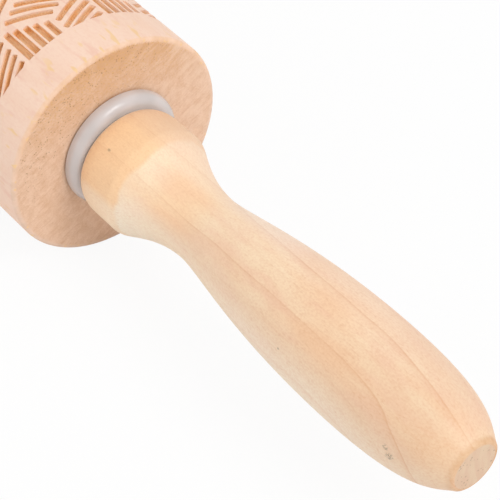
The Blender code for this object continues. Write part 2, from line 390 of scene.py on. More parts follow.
@dataclass(frozen=True)
class EngravedBeech:
    """Beech, turned and sanded without varnish, then engraved by laser.

    The sanded side is matt, a pinkish cream, with soft streaks along the axle. The burnt grooves are
    orange and fibrous; their walls stay pale towards the rims, unburnt wood at the very top and a
    painted highlight further down. The sawn end soaks up light: it is darker and mottled,
    golden brown at the top, with rays and pale streaks across it, and shows its pores as small dots.
    The eased edge between them is darker than the side, a painted shade, and turns yellower towards the top.
    """

    side_colour: str = "F9D8C2"
    streaks: Coat = Coat("F4CCB2", Ramp(Noise(mm(30, 2.4, 2.4), detail=3), 0.4, 0.7, most=0.4))
    blushes: Coat = Coat("EDBBA4", Ramp(Noise(mm(8, 1.8, 1.8)), 0.54, 0.72, most=0.5))
    grain: Coat = Coat("EDBBA4", Ramp(Noise(mm(0.8, 0.4, 0.4)), 0.4, 0.75, most=0.22))
    fleck_colour: str = "F4CB92"
    flecks: Ramp = Ramp(Noise(mm(4, 1.1, 1.1), detail=1), 0.61, 0.7, most=0.75)
    # Inwards from the barrel's end
    fleck_zone: Zone = (9 * MM, 4.5 * MM)
    # The eased edge is darker than the side, a painted shade; the gold coat makes it yellower towards the
    # top
    edge_shade_colour: str = "E2C3AC"
    edge_gold: Coat = Coat("EBC09A", Ramp(Way.UP, -2 * MM, 12 * MM, soft=False))
    edge_patches: Ramp = Ramp(Noise(mm(8, 1.8, 1.8)), 0.35, 0.65, least=0.4, most=0.8)
    edge_wander: Ramp = Ramp(Noise(mm(0.8, 0.4, 0.4)), most=0.3 * MM)
    # The eased edge's colour inwards from the barrel's end, and the end's colour inwards from its side,
    # both in widths of the eased edge
    edge_zone: Zone = (1.1, 1 / 3)
    end_zone: Zone = (0.6, 1.5)
    burnt_colour: str = "FBC98E"
    burnt_patches: Coat = Coat("FDD7AC", Ramp(Noise(mm(3.5, 2.4, 2.4), detail=1), 0.36, 0.58))
    burnt_dark: str = "EAAD74"
    # The burnt wood is darker between its fibres, where their pattern is low
    char_zone: Zone = (0.55, 0.1)
    char_strength: float = 0.5
    # Burning starts this deep and is complete halfway down a groove, so the walls stay pale towards the
    # rims: unburnt wood at the very top, a painted highlight further down
    burn_start: float = 0.08 * MM
    # Wood fibres are 0.03 mm thick, too fine to show, so they are drawn as bundles eight times as thick
    fibres: Ramp = Ramp(Noise(mm(2.2, 0.25, 0.25), detail=3), 0.32, 0.68)
    end_colour: str = "E2B998"
    end_light: str = "F0CDB3"
    end_mottle: Ramp = Ramp(Noise(mm(0, 0.42, 0.36)), most=0.5)
    end_blotches: Ramp = Ramp(Noise(mm(0, 1.9, 1.4), turn=END_TURN), 0.35, 0.65, most=0.5)
    end_brown: Coat = Coat("D8A577", Ramp(Noise(mm(0, 6, 6)), least=0.45, most=0.95),
                           Ramp(Way.UP, 5 * MM, 21 * MM))
    end_gold: Coat = Coat("DCA862", Ramp(Noise(mm(0, 0.5, 0.4)), 0.48, 0.68, most=0.6),
                          Ramp(Way.UP, 5 * MM, 21 * MM))
    end_rays: Coat = Coat("CE9A72", Ramp(Noise(mm(0, 2.6, 0.45), detail=3, turn=END_TURN),
                                         0.45, 0.75, most=0.34))
    end_streaks: Coat = Coat("F1CFB4", Ramp(Noise(mm(0, 6, 1.3), turn=END_TURN), 0.42, 0.7),
                             Ramp(Way.ACROSS, 2 * MM, 14 * MM, most=0.6))
    pore_colour: str = "96683C"
    # Real pores are 0.05 mm wide, too fine to show, so they are drawn four times as wide
    pore_width: float = 0.2 * MM
    pore_spacing: float = 0.48 * MM
    pore_patches: Ramp = Ramp(Noise(mm(0, 1.7, 1.7)), 0.38, 0.6)
    # The pores crowd towards the upper front, this many times more upwards than forwards
    pore_rise: float = 1.8
    pore_zone: Zone = (-4 * MM, 36 * MM)
    pore_least: float = 0.1
    # Where the wood isn't burnt, its fibres stand out by this share
    sanded_relief: float = 0.1
    end_relief: Ramp = Ramp(Noise(mm(0, 0.42, 0.36)), most=0.25)
    relief_depth: float = 0.08 * MM
    roughness: float = 0.62
    ior: float = 1.5

    def material(self, barrel: "Barrel") -> bpy.types.Material:
        """Makes the finish for a barrel.

        Args:
            barrel: gives the radius, length and hatch that the burn and the end grain follow.

        Returns:
            The material.
        """
        recipe = Recipe("sanded_beech_laser_engraved", barrel.axle_height)
        add, measures, ease = recipe.add, recipe.measures, barrel.edge_ease
        fibres = recipe.show(self.fibres)
        # The walls stay pale towards the rims: partly unburnt wood, partly a painted highlight
        below = Ramp(Way.RADIUS, barrel.radius - self.burn_start, barrel.radius - barrel.hatch.depth / 2)
        in_hatch = add("Math", {0: measures[Way.REACH], 1: barrel.half - barrel.hatch.margin + MM},
                       operation="LESS_THAN")
        burn = recipe.show(below, in_hatch)
        wander = add("Math", {0: recipe.show(self.edge_wander), 1: measures[Way.RADIUS]})
        inside = Ramp(wander, *(barrel.radius - share * ease for share in self.end_zone))
        at_end = add("Math", {0: measures[Way.REACH], 1: barrel.half - ease}, operation="GREATER_THAN")
        on_end = recipe.show(inside, at_end)
        burnt = recipe.lay(self.burnt_colour, self.burnt_patches,
                           Coat(self.burnt_dark, Ramp(fibres, *self.char_zone, most=self.char_strength)))
        colour = recipe.lay(self.side(recipe, barrel), Coat(self.end(recipe), on_end), Coat(burnt, burn))
        fibrous = recipe.show(fibres, Ramp(burn, 0, 1, least=self.sanded_relief, soft=False))
        height = add("Math", {0: recipe.show(self.end_relief, on_end), 1: fibrous})
        return recipe.finish({"Base Color": colour, "Roughness": self.roughness, "IOR": self.ior},
                             height, self.relief_depth)

    def side(self, recipe: Recipe, barrel: "Barrel") -> Socket:
        """Colours the sanded side: faint streaks, blushes, flecks near the ends, and the eased edge with its
        painted shade, yellower towards the top.

        Args:
            recipe: the barrel's recipe.
            barrel: gives the length.

        Returns:
            The colour.
        """
        # The eased edge gets its painted shade here
        edge = Ramp(Way.REACH, *(barrel.half - share * barrel.edge_ease for share in self.edge_zone))
        near_end = Ramp(Way.REACH, *(barrel.half - inwards for inwards in self.fleck_zone), soft=False)
        return recipe.lay(self.side_colour, self.streaks, self.blushes, self.grain,
                          Coat(recipe.lay(self.edge_shade_colour, self.edge_gold), edge, self.edge_patches),
                          Coat(self.fleck_colour, self.flecks, near_end))

    def end(self, recipe: Recipe) -> Socket:
        """Colours the sawn end.

        Args:
            recipe: the barrel's recipe.

        Returns:
            The colour.
        """
        add = recipe.add
        mottle = add("Math", {0: recipe.show(self.end_mottle), 1: recipe.show(self.end_blotches)})
        rise = add("Math", {0: recipe.measures[Way.UP], 1: self.pore_rise}, operation="MULTIPLY")
        slant = add("Math", {0: rise, 1: recipe.measures[Way.ACROSS]}, operation="SUBTRACT")
        crowd = recipe.show(self.pore_patches, Ramp(slant, *self.pore_zone, least=self.pore_least))
        pores = recipe.pores(self.pore_spacing, self.pore_width, crowd)
        return recipe.lay(self.end_colour, Coat(self.end_light, mottle), self.end_brown, self.end_gold,
                          self.end_rays, self.end_streaks, Coat(self.pore_colour, pores))


@dataclass(frozen=True)
class Mark:
    """A dark mark in the wood: its place from the axle, its size, its strength and whether it is dotted."""

    place: tuple[float, ...]
    size: tuple[float, ...]
    strength: float
    dotted: bool = True


@dataclass(frozen=True)
class OiledBirch:
    """Birch, turned, sanded and oiled thinly: warm pale yellow, satin, with a few thin growth lines.

    The collar is more orange than the rest, the neck has a warm patch, and the grip gets warmer and
    darker towards the tip. Light and shade are painted on as well: the neck is paler, a painted light;
    the last stretch of the grip is darker, a painted shade; both flanks are paler than the middle, a
    painted light, the low one as from the white floor; the collar's far flank is greyer, a painted
    shade; and a pale line round the base is a painted highlight. Where the wood is cut across, at the
    flat end, it is pinker and greyer, and shows its pores inside a broken brown rim.
    The growth layers are flat, because the tree was far thicker than a handle.
    """

    ground: str = "FCE0BE"
    peach: Coat = Coat("F7CEA8", Ramp(Noise(mm(24, 6, 6)), 0.34, 0.66))
    blushes: Coat = Coat("F2C1A6", Ramp(Noise(mm(12, 4, 4)), 0.44, 0.68, most=0.5))
    # The lower flank is paler, a painted light as from the white floor below
    low_flank_painted_light: Coat = Coat("FFF3DF", Ramp(Way.DEPTH, -2 * MM, -11 * MM, most=0.9))
    # The neck is paler, more so on its upper side, a painted light
    neck: Coat = Coat("FFEED0", Ramp(Way.REACH, 130 * MM, 112 * MM),
                      Ramp(Way.DEPTH, 0, 5 * MM, least=0.25, most=0.5, soft=False))
    collar: Coat = Coat("FBCD9B", Ramp(Way.COLLAR_REACH, COLLAR_END + 0.8 * MM, COLLAR_END - 0.2 * MM,
                                       most=0.8),
                        Ramp(Way.DEPTH, -9 * MM, -7.8 * MM, least=0.45, soft=False))
    neck_patch: Coat = Coat("F6B87A", Ramp(Way.REACH, 113 * MM, 105 * MM, most=0.3),
                            Ramp(Way.REACH, 96.5 * MM, 101 * MM, soft=False),
                            Ramp(Way.OFF_MIDDLE, 6 * MM, 3 * MM))
    # The collar's far flank is greyer and darker, a painted shade
    collar_flank_painted_shade: Coat = Coat("C9AC9A", Ramp(Way.DEPTH, 4 * MM, 9 * MM, most=0.32, soft=False),
                              Ramp(Way.REACH, COLLAR_END + 2 * MM, COLLAR_END - MM, soft=False))
    # The upper flank is paler than the middle, a painted light, weaker over the collar
    high_flank_painted_light: Coat = Coat("F9D7BC", Ramp(Way.DEPTH, 3 * MM, 9 * MM, most=0.65),
                            Ramp(Way.REACH, COLLAR_END - 2 * MM, COLLAR_END + 2 * MM, least=0.35,
                                 soft=False))
    grip: Coat = Coat("EEBB8E", Ramp(Way.REACH, 108 * MM, 140 * MM, most=0.25, soft=False),
                      Ramp(Way.DEPTH, 3.5 * MM, 0.5 * MM),
                      Ramp(Way.DEPTH, -11 * MM, -7 * MM, least=0.2, soft=False))
    # The last stretch of the grip is darker, a painted shade where the light falls off
    tip: Coat = Coat("DAB795", Ramp(Way.REACH, 146 * MM, 168 * MM, most=0.3, soft=False))
    # The neck's upper flank is paler still, a painted light
    neck_flank_painted_light: Coat = Coat("FFF0E0", Ramp(Way.REACH, 134 * MM, 122 * MM, most=0.45),
                            Ramp(Way.DEPTH, 4.5 * MM, 6.5 * MM, soft=False),
                            Ramp(Way.REACH, 106 * MM, 112 * MM, soft=False))
    collar_wander: Ramp = Ramp(Noise(mm(24, 6, 6)), most=1.0 * MM)
    # A pale line round the handle's base, a painted highlight
    base_highlight_colour: str = "FFF3DF"
    # Where the painted highlight lies, outwards from the handle's base
    base_highlight_zone: Zone = (0.6 * MM, 0.2 * MM)
    base_highlight_strength: float = 0.7
    line_colour: str = "DCA378"
    # Angle of the growth layers to the floor, and how far they lie apart
    slant: float = math.radians(31.9)
    layer_spacing: float = 7.6 * MM
    layer_shift: Ramp = Ramp(Noise(mm(26, 14, 14), detail=1), 0.2, 0.8, least=0.75 * MM, most=1.65 * MM)
    layer_patches: Ramp = Ramp(Noise(mm(26, 14, 14)), 0.25, 0.6, least=0.5)
    layer_growth: Ramp = Ramp(Way.REACH, COLLAR_END, COLLAR_END + 25 * MM, least=0.3, soft=False)
    # The lines are weaker on the low side, and so is the line halfway between two others
    low_zone: Zone = (-8 * MM, -3 * MM)
    low_strength: float = 0.35
    halfway_strength: float = 0.3
    # A line's soft fade, its core and its end, as shares of a layer
    fade_zone: Zone = (0.8, 0.98)
    fade_strength: float = 0.22
    core_zone: Zone = (0.945, 0.975)
    core_strength: float = 0.3
    end_zone: Zone = (1, 0.98)
    # Near the tip the layers run out of the wood, more so on the near side
    run_out: Ramp = Ramp(Way.REACH, 150 * MM, 175 * MM, soft=False)
    run_out_power: float = 2.2
    run_out_depth: Ramp = Ramp(Way.DEPTH, 0, -4 * MM, least=4.5 * MM, most=10.35 * MM, soft=False)
    # Fibres are too fine to show, so they are drawn as bundles ten times as thick
    fibres: Ramp = Ramp(Noise(mm(5, 0.3, 0.3)))
    speckles: Ramp = Ramp(Noise(mm(0.9, 0.3, 0.3)), 0.4, 0.75)
    pebbles: Ramp = Ramp(Noise(mm(0.45, 0.34, 0.34)), 0.35, 0.7)
    pebble_share: float = 0.7
    fine_growth: Ramp = Ramp(Way.REACH, 110 * MM, 140 * MM, least=0.2, most=0.29, soft=False)
    end_colour: str = "DBB799"
    end_streaks: Coat = Coat("DFC1A2", Ramp(Noise(mm(0, 1.4, 6)), 0.35, 0.65))
    rim_colour: str = "D49F6C"
    rim_breaks: Ramp = Ramp(Noise(mm(3, 2, 2)), 0.35, 0.65, least=0.4, most=0.7)
    # Inwards from the tip, in sizes of the rounded edge
    rim_zone: Zone = (1.2, 0.25)
    # How strongly the rim shows on its near side and on its far side
    rim_strengths: tuple[float, float] = (0.5, 1.5)
    # Outwards from the edge of the flat
    flat_zone: Zone = (0.2 * MM, -0.1 * MM)
    pore_colour: str = "9A765A"
    # Real pores are 0.06 mm wide, too fine to show, so they are drawn four times as wide
    pore_width: float = 0.24 * MM
    pore_spacing: float = 0.6 * MM
    pore_patches: Ramp = Ramp(Noise(mm(3, 2, 2)), 0.4, 0.6)
    mark_colour: str = "7D6850"
    # Inwards from outside a mark, in sizes of the mark
    mark_zone: Zone = (1.2, 0.5)
    mark_fray: Ramp = Ramp(Noise(mm(0.9, 0.3, 0.3)), 0.2, 0.8, most=0.6)
    mark_dots: Ramp = Ramp(Noise(mm(0.28, 0.28, 0.28)), 0.4, 0.56)
    marks: tuple[Mark, ...] = (
        Mark(mm(87.76, -6.66, 8.22), mm(0.65, 0.34, 0.34), 0.5, dotted=False),
        Mark(mm(164.4, -9.15, 1.7), mm(0.8, 0.5, 0.8), 0.6),
        Mark(mm(165.3, -9.1, 0.4), mm(1.1, 0.5, 1.2), 0.7),
        Mark(mm(138.68, -9.79, 2.71), mm(0.4, 0.3, 0.3), 0.5, dotted=False),
    )
    relief_depth: float = 0.016 * MM
    roughness: float = 0.48
    ior: float = 1.5

    def material(self, handle: "Handle") -> bpy.types.Material:
        """Makes the finish for the handles.

        Args:
            handle: gives the base, and the flat end that shows end grain.

        Returns:
            The material.
        """
        recipe = Recipe("oiled_birch_turned", handle.axle_height)
        add, measures = recipe.add, recipe.measures
        turned = add("Mapping", {"Vector": recipe.place, "Rotation": (self.slant, 0, 0)},
                     vector_type="TEXTURE")
        measures[Way.DEPTH] = add("SeparateXYZ", {0: turned}, output="Y")
        measures[Way.OFF_MIDDLE] = add("Math", {0: measures[Way.DEPTH]}, operation="ABSOLUTE")
        measures[Way.COLLAR_REACH] = add("Math", {0: recipe.show(self.collar_wander),
                                                  1: measures[Way.REACH]})
        fibres, pebbles = recipe.show(self.fibres), recipe.show(self.pebbles)
        fine = add("Math", {0: pebbles, 1: self.pebble_share, 2: recipe.show(fibres, self.speckles)},
                   operation="MULTIPLY_ADD")
        # A pale line round the base, a painted highlight
        base_highlight = Ramp(Way.REACH, *(handle.base + outwards for outwards in self.base_highlight_zone),
                       most=self.base_highlight_strength, soft=False)
        # Among these coats the flanks, the neck, the collar's far flank and the tip carry painted light and
        # shade
        colour = recipe.lay(self.ground, self.peach, self.blushes, self.low_flank_painted_light, self.neck, self.collar,
                            self.neck_patch, self.collar_flank_painted_shade, self.high_flank_painted_light, self.grip, self.tip,
                            Coat(self.line_colour, self.layers(recipe)), self.neck_flank_painted_light,
                            Coat(self.base_highlight_colour, base_highlight),
                            Coat(self.line_colour, fine, self.fine_growth))
        colour = recipe.lay(colour, *self.flat_end(recipe, handle),
                            *(self.marked(recipe, mark) for mark in self.marks))
        height = add("Math", {0: pebbles, 1: self.pebble_share, 2: fibres}, operation="MULTIPLY_ADD")
        return recipe.finish({"Base Color": colour, "Roughness": self.roughness, "IOR": self.ior},
                             height, self.relief_depth)

    def layers(self, recipe: Recipe) -> Socket:
        """Draws a thin line for each growth layer, and a fainter one halfway to the next.

        Args:
            recipe: the handle's recipe.

        Returns:
            How strongly a line shows, 0 to 1.
        """
        add = recipe.add
        run = add("Math", {0: recipe.show(self.run_out), 1: self.run_out_power}, operation="POWER")
        depth = add("Math", {0: run, 1: recipe.show(self.run_out_depth), 2: recipe.measures[Way.DEPTH]},
                    operation="MULTIPLY_ADD")
        depth = add("Math", {0: recipe.show(self.layer_shift), 1: depth})
        count = add("Math", {0: depth, 1: self.layer_spacing}, operation="DIVIDE")
        halfway = add("Math", {0: count, 1: 0.5})
        faint = add("Math", {0: self.layer(recipe, halfway), 1: self.halfway_strength},
                    operation="MULTIPLY")
        line = add("Math", {0: self.layer(recipe, count), 1: faint}, operation="MAXIMUM")
        low = Ramp(depth, *self.low_zone, least=self.low_strength, soft=False)
        return recipe.show(line, self.layer_patches, low, self.layer_growth)

    def layer(self, recipe: Recipe, count: Socket) -> Socket:
        """Draws one thin line in each growth layer, with a soft fade on one side.

        Args:
            recipe: the handle's recipe.
            count: the number of the layer, whose fraction says how far into the layer a point lies.

        Returns:
            How strongly the line shows, 0 to 1.
        """
        share = recipe.add("Math", {0: count}, operation="FRACT")
        fade = recipe.show(Ramp(share, *self.fade_zone, most=self.fade_strength))
        core = recipe.show(Ramp(share, *self.core_zone, most=self.core_strength))
        return recipe.show(recipe.add("Math", {0: fade, 1: core}), Ramp(share, *self.end_zone))

    def flat_end(self, recipe: Recipe, handle: "Handle") -> tuple[Coat, Coat]:
        """Makes the broken brown rim round the flat end, and the end grain inside it.

        Args:
            recipe: the handle's recipe.
            handle: gives the place and the radius of the flat end.

        Returns:
            The rim's coat and the end grain's.
        """
        add = recipe.add
        tip = handle.tip
        middle = (0, 0, handle.lean * (tip - handle.lean_centre))
        local = add("VectorMath", {0: recipe.place, 1: middle}, operation="SUBTRACT")
        local = add("VectorMath", {0: local, 1: (0, 1, 1)}, operation="MULTIPLY")
        away = add("VectorMath", {0: local}, output="Value", operation="LENGTH")
        at_tip = add("Math", {0: recipe.measures[Way.REACH], 1: tip - handle.end_round},
                     operation="GREATER_THAN")
        on_flat = Ramp(away, *(handle.flat_radius + outwards for outwards in self.flat_zone))
        on_rim = Ramp(Way.REACH, *(tip - share * handle.end_round for share in self.rim_zone))
        near_to_far = Ramp(Way.ACROSS, -handle.end_radius, handle.end_radius, *self.rim_strengths,
                           soft=False)
        pores = recipe.pores(self.pore_spacing, self.pore_width, self.pore_patches)
        end = recipe.lay(self.end_colour, self.end_streaks, Coat(self.pore_colour, pores))
        return Coat(self.rim_colour, on_rim, self.rim_breaks, near_to_far), Coat(end, on_flat, at_tip)

    def marked(self, recipe: Recipe, mark: Mark) -> Coat:
        """Makes one dark mark.

        Args:
            recipe: the handle's recipe.
            mark: the mark.

        Returns:
            The mark's coat.
        """
        local = recipe.add("Mapping", {"Vector": recipe.place, "Location": mark.place, "Scale": mark.size},
                           vector_type="TEXTURE")
        away = recipe.add("VectorMath", {0: local}, output="Value", operation="LENGTH")
        frayed = recipe.add("Math", {0: recipe.show(self.mark_fray), 1: away})
        spot = Ramp(frayed, *self.mark_zone, most=mark.strength)
        return Coat(self.mark_colour, spot, *([self.mark_dots] if mark.dotted else []))


@dataclass(frozen=True)
class MouldedNylon:
    """Natural nylon, injection moulded: warm grey, slightly milky, with a soft gloss on round edges."""

    colour: str = "D3CBC9"
    clouds: Coat = Coat("C9C2C0", Ramp(Noise(mm(8, 5, 5), detail=1)))
    # The mould's own texture is finer than 0.1 mm, and it is drawn coarser so that it shows at all
    texture: Ramp = Ramp(Noise(mm(0.4, 0.4, 0.4), detail=1), 0.2, 0.8)
    relief_depth: float = 0.002 * MM
    roughness: float = 0.24
    ior: float = 1.53

    def material(self, axle_height: float) -> bpy.types.Material:
        """Makes the finish of the bushings.

        Args:
            axle_height: height of the axle over the floor.

        Returns:
            The material.
        """
        recipe = Recipe("moulded_nylon_natural", axle_height)
        return recipe.finish({"Base Color": recipe.lay(self.colour, self.clouds),
                              "Roughness": self.roughness, "IOR": self.ior},
                             recipe.show(self.texture), self.relief_depth)


@dataclass(frozen=True)
class TooledMetal:
    """A bare metal with the fine lines that its tool left.

    Attributes:
        name: the material's name.
        dark: colour between the lines.
        light: colour on the lines.
        lines: the lines.
        relief_depth: how deep they are.
        roughness: the metal's roughness.
        line_roughness: how much rougher it is on a line.
    """

    name: str
    dark: str
    light: str
    lines: Ramp
    relief_depth: float
    roughness: float
    line_roughness: float

    def material(self, axle_height: float) -> bpy.types.Material:
        """Makes the finish.

        Args:
            axle_height: height of the axle over the floor.

        Returns:
            The material.
        """
        recipe = Recipe(self.name, axle_height)
        lines = recipe.show(self.lines)
        roughness = self.roughness
        if self.line_roughness:
            roughness = recipe.show(Ramp(lines, 0, 1, least=roughness, most=roughness + self.line_roughness,
                                         soft=False))
        return recipe.finish({"Base Color": recipe.lay(self.dark, Coat(self.light, lines)),
                              "Roughness": roughness, "Metallic": 1}, lines, self.relief_depth)


@dataclass(frozen=True)
class DrawnSteel(TooledMetal):
    """Mild steel rod, cold drawn: grey and bright, with fine lines along its length."""

    name: str = "cold_drawn_steel"
    dark: str = "A2A4A7"
    light: str = "BFC1C3"
    # Real draw lines are finer than 0.02 mm, and they are drawn coarser so that they show
    lines: Ramp = Ramp(Noise(mm(20, 0.12, 0.12)))
    relief_depth: float = 0.004 * MM
    roughness: float = 0.25
    line_roughness: float = 0.15


@dataclass(frozen=True)
class MachinedBrass(TooledMetal):
    """Free-cutting brass, turned: yellow, with fine rings from the tool."""

    name: str = "machined_brass"
    dark: str = "BC9649"
    light: str = "D8B66A"
    # Real tool marks are about 0.05 mm apart, and they are drawn three times as coarse
    lines: Ramp = Ramp(Noise(mm(0.15, 6, 6)))
    relief_depth: float = 0.006 * MM
    roughness: float = 0.32
    line_roughness: float = 0


# Turned pieces


def arc(centre: tuple[float, float], radius: float, start: float, end: float, steps: int) -> Outline:
    """Points on an arc of an outline.

    Args:
        centre: its place along the axle and its distance from it.
        radius: the arc's radius.
        start: first angle in degrees, from the axle's direction towards outwards.
        end: last angle in degrees.
        steps: number of straight steps.

    Returns:
        The points, both ends included.
    """
    angles = [math.radians(start + (end - start) * step / steps) for step in range(steps + 1)]
    return [(centre[0] + radius * math.cos(angle), centre[1] + radius * math.sin(angle)) for angle in angles]


def curve(start: tuple[float, float], start_handle: tuple[float, float], end_handle: tuple[float, float],
          end: tuple[float, float], points: int) -> Outline:
    """Points on one curved stretch of an outline.

    Args:
        start: first point, along the axle and away from it.
        start_handle: the point that the curve leans on first.
        end_handle: the point that the curve leans on last.
        end: last point.
        points: how many points are returned.

    Returns:
        The points, both ends included.
    """
    knots = [Vector((*knot, 0)) for knot in (start, start_handle, end_handle, end)]
    return [(point.x, point.y) for point in interpolate_bezier(*knots, points)]


@dataclass
class Lathe:
    """Turns outlines round the axle."""

    axle_height: float
    sides: int = 96

    def turn(self, name: str, outline: Sequence[tuple[float, float]], side: Side,
             base: float) -> bpy.types.Object:
        """Spins an outline round the axle into one closed piece.

        Args:
            name: the piece's name.
            outline: points as (distance outwards from the base, radius); a ring's outline comes back
                to its start, and a solid's outline starts and ends on the axle.
            side: the end of the pin that the piece belongs to.
            base: distance of the outline's zero from the middle of the pin.

        Returns:
            The piece.
        """
        points = [(side.value * (base + along), radius) for along, radius in outline]
        deselect_all()
        first = points[0]
        bpy.ops.mesh.primitive_plane_add(size=MM, location=(first[0], 0, self.axle_height + first[1]))
        piece = bpy.context.object
        piece.name = name
        bpy.ops.object.mode_set(mode="EDIT")
        bpy.ops.mesh.select_mode(type="VERT")
        bpy.ops.mesh.merge(type="CENTER")
        for (old_along, old_radius), (along, radius) in zip(points, points[1:]):
            step = (along - old_along, 0, radius - old_radius)
            bpy.ops.mesh.extrude_vertices_move(TRANSFORM_OT_translate={"value": step})
        bpy.ops.mesh.select_all(action="SELECT")
        bpy.ops.mesh.spin(steps=self.sides, angle=math.tau, center=(first[0], 0, self.axle_height),
                          axis=(1, 0, 0))
        bpy.ops.mesh.select_all(action="SELECT")
        bpy.ops.mesh.remove_doubles(threshold=WELD_DISTANCE)
        bpy.ops.mesh.normals_make_consistent(inside=False)
        bpy.ops.object.mode_set(mode="OBJECT")
        settle(piece)
        return piece


@dataclass
class Bushing:
    """Nylon bushing: a round-shouldered flange proud of the barrel, and a sleeve pressed into it."""

    side: Side
    lathe: Lathe
    flange_radius: float = 11.8 * MM
    flange_height: float = 2.65 * MM
    shoulder: float = 1.9 * MM
    seat_edge: float = 0.15 * MM
    sleeve_radius: float = 8 * MM
    bore_radius: float = 4.3 * MM
    bore_chamfer: float = 0.4 * MM
    shoulder_steps: int = 14
    seat_steps: int = 3
    # The mould halves don't meet exactly, so the flange sits a little beside the sleeve
    flange_shift: tuple[float, float, float] = (0, 0.35 * MM, 0.2 * MM)

    def build(self) -> bpy.types.Object:
        """Models the bushing in its node's place.

        Returns:
            The piece.
        """
        low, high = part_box(self.side.node("bushing"))
        outer, inner = max(abs(low.x), abs(high.x)), min(abs(low.x), abs(high.x))
        base = outer - self.flange_height
        sleeve = inner - base
        shoulder_centre = (self.flange_height - self.shoulder, self.flange_radius - self.shoulder)
        seat_centre = (self.seat_edge, self.flange_radius - self.seat_edge)
        outline = [(self.flange_height, self.bore_radius + self.bore_chamfer)]
        outline += arc(shoulder_centre, self.shoulder, 0, 90, self.shoulder_steps)
        outline += arc(seat_centre, self.seat_edge, 90, 180, self.seat_steps)
        outline += [(0, self.sleeve_radius), (sleeve + self.bore_chamfer, self.sleeve_radius),
                    (sleeve, self.sleeve_radius - self.bore_chamfer), (sleeve, self.bore_radius),
                    (self.flange_height - self.bore_chamfer, self.bore_radius), outline[0]]
        piece = self.lathe.turn(self.side.node("nylon_bushing"), outline, self.side, base)
        take(piece)
        bpy.ops.object.mode_set(mode="EDIT")
        select(Element.VERT, self.in_flange)
        bpy.ops.transform.translate(value=self.flange_shift)
        bpy.ops.object.mode_set(mode="OBJECT")
        return piece

    def in_flange(self, vertex: bmesh.types.BMVert) -> bool:
        """Says whether a vertex belongs to the outside of the flange.

        Args:
            vertex: a vertex of the bushing.

        Returns:
            True for the flange's outer vertices.
        """
        from_axle = math.hypot(vertex.co.y, vertex.co.z - self.lathe.axle_height)
        return from_axle > self.sleeve_radius + WELD_DISTANCE

    def dress(self, piece: bpy.types.Object, material: bpy.types.Material) -> None:
        """Puts the bushing on the roller."""
        mount(piece, self.side.node("bushing"), Body.ROLLER, material)


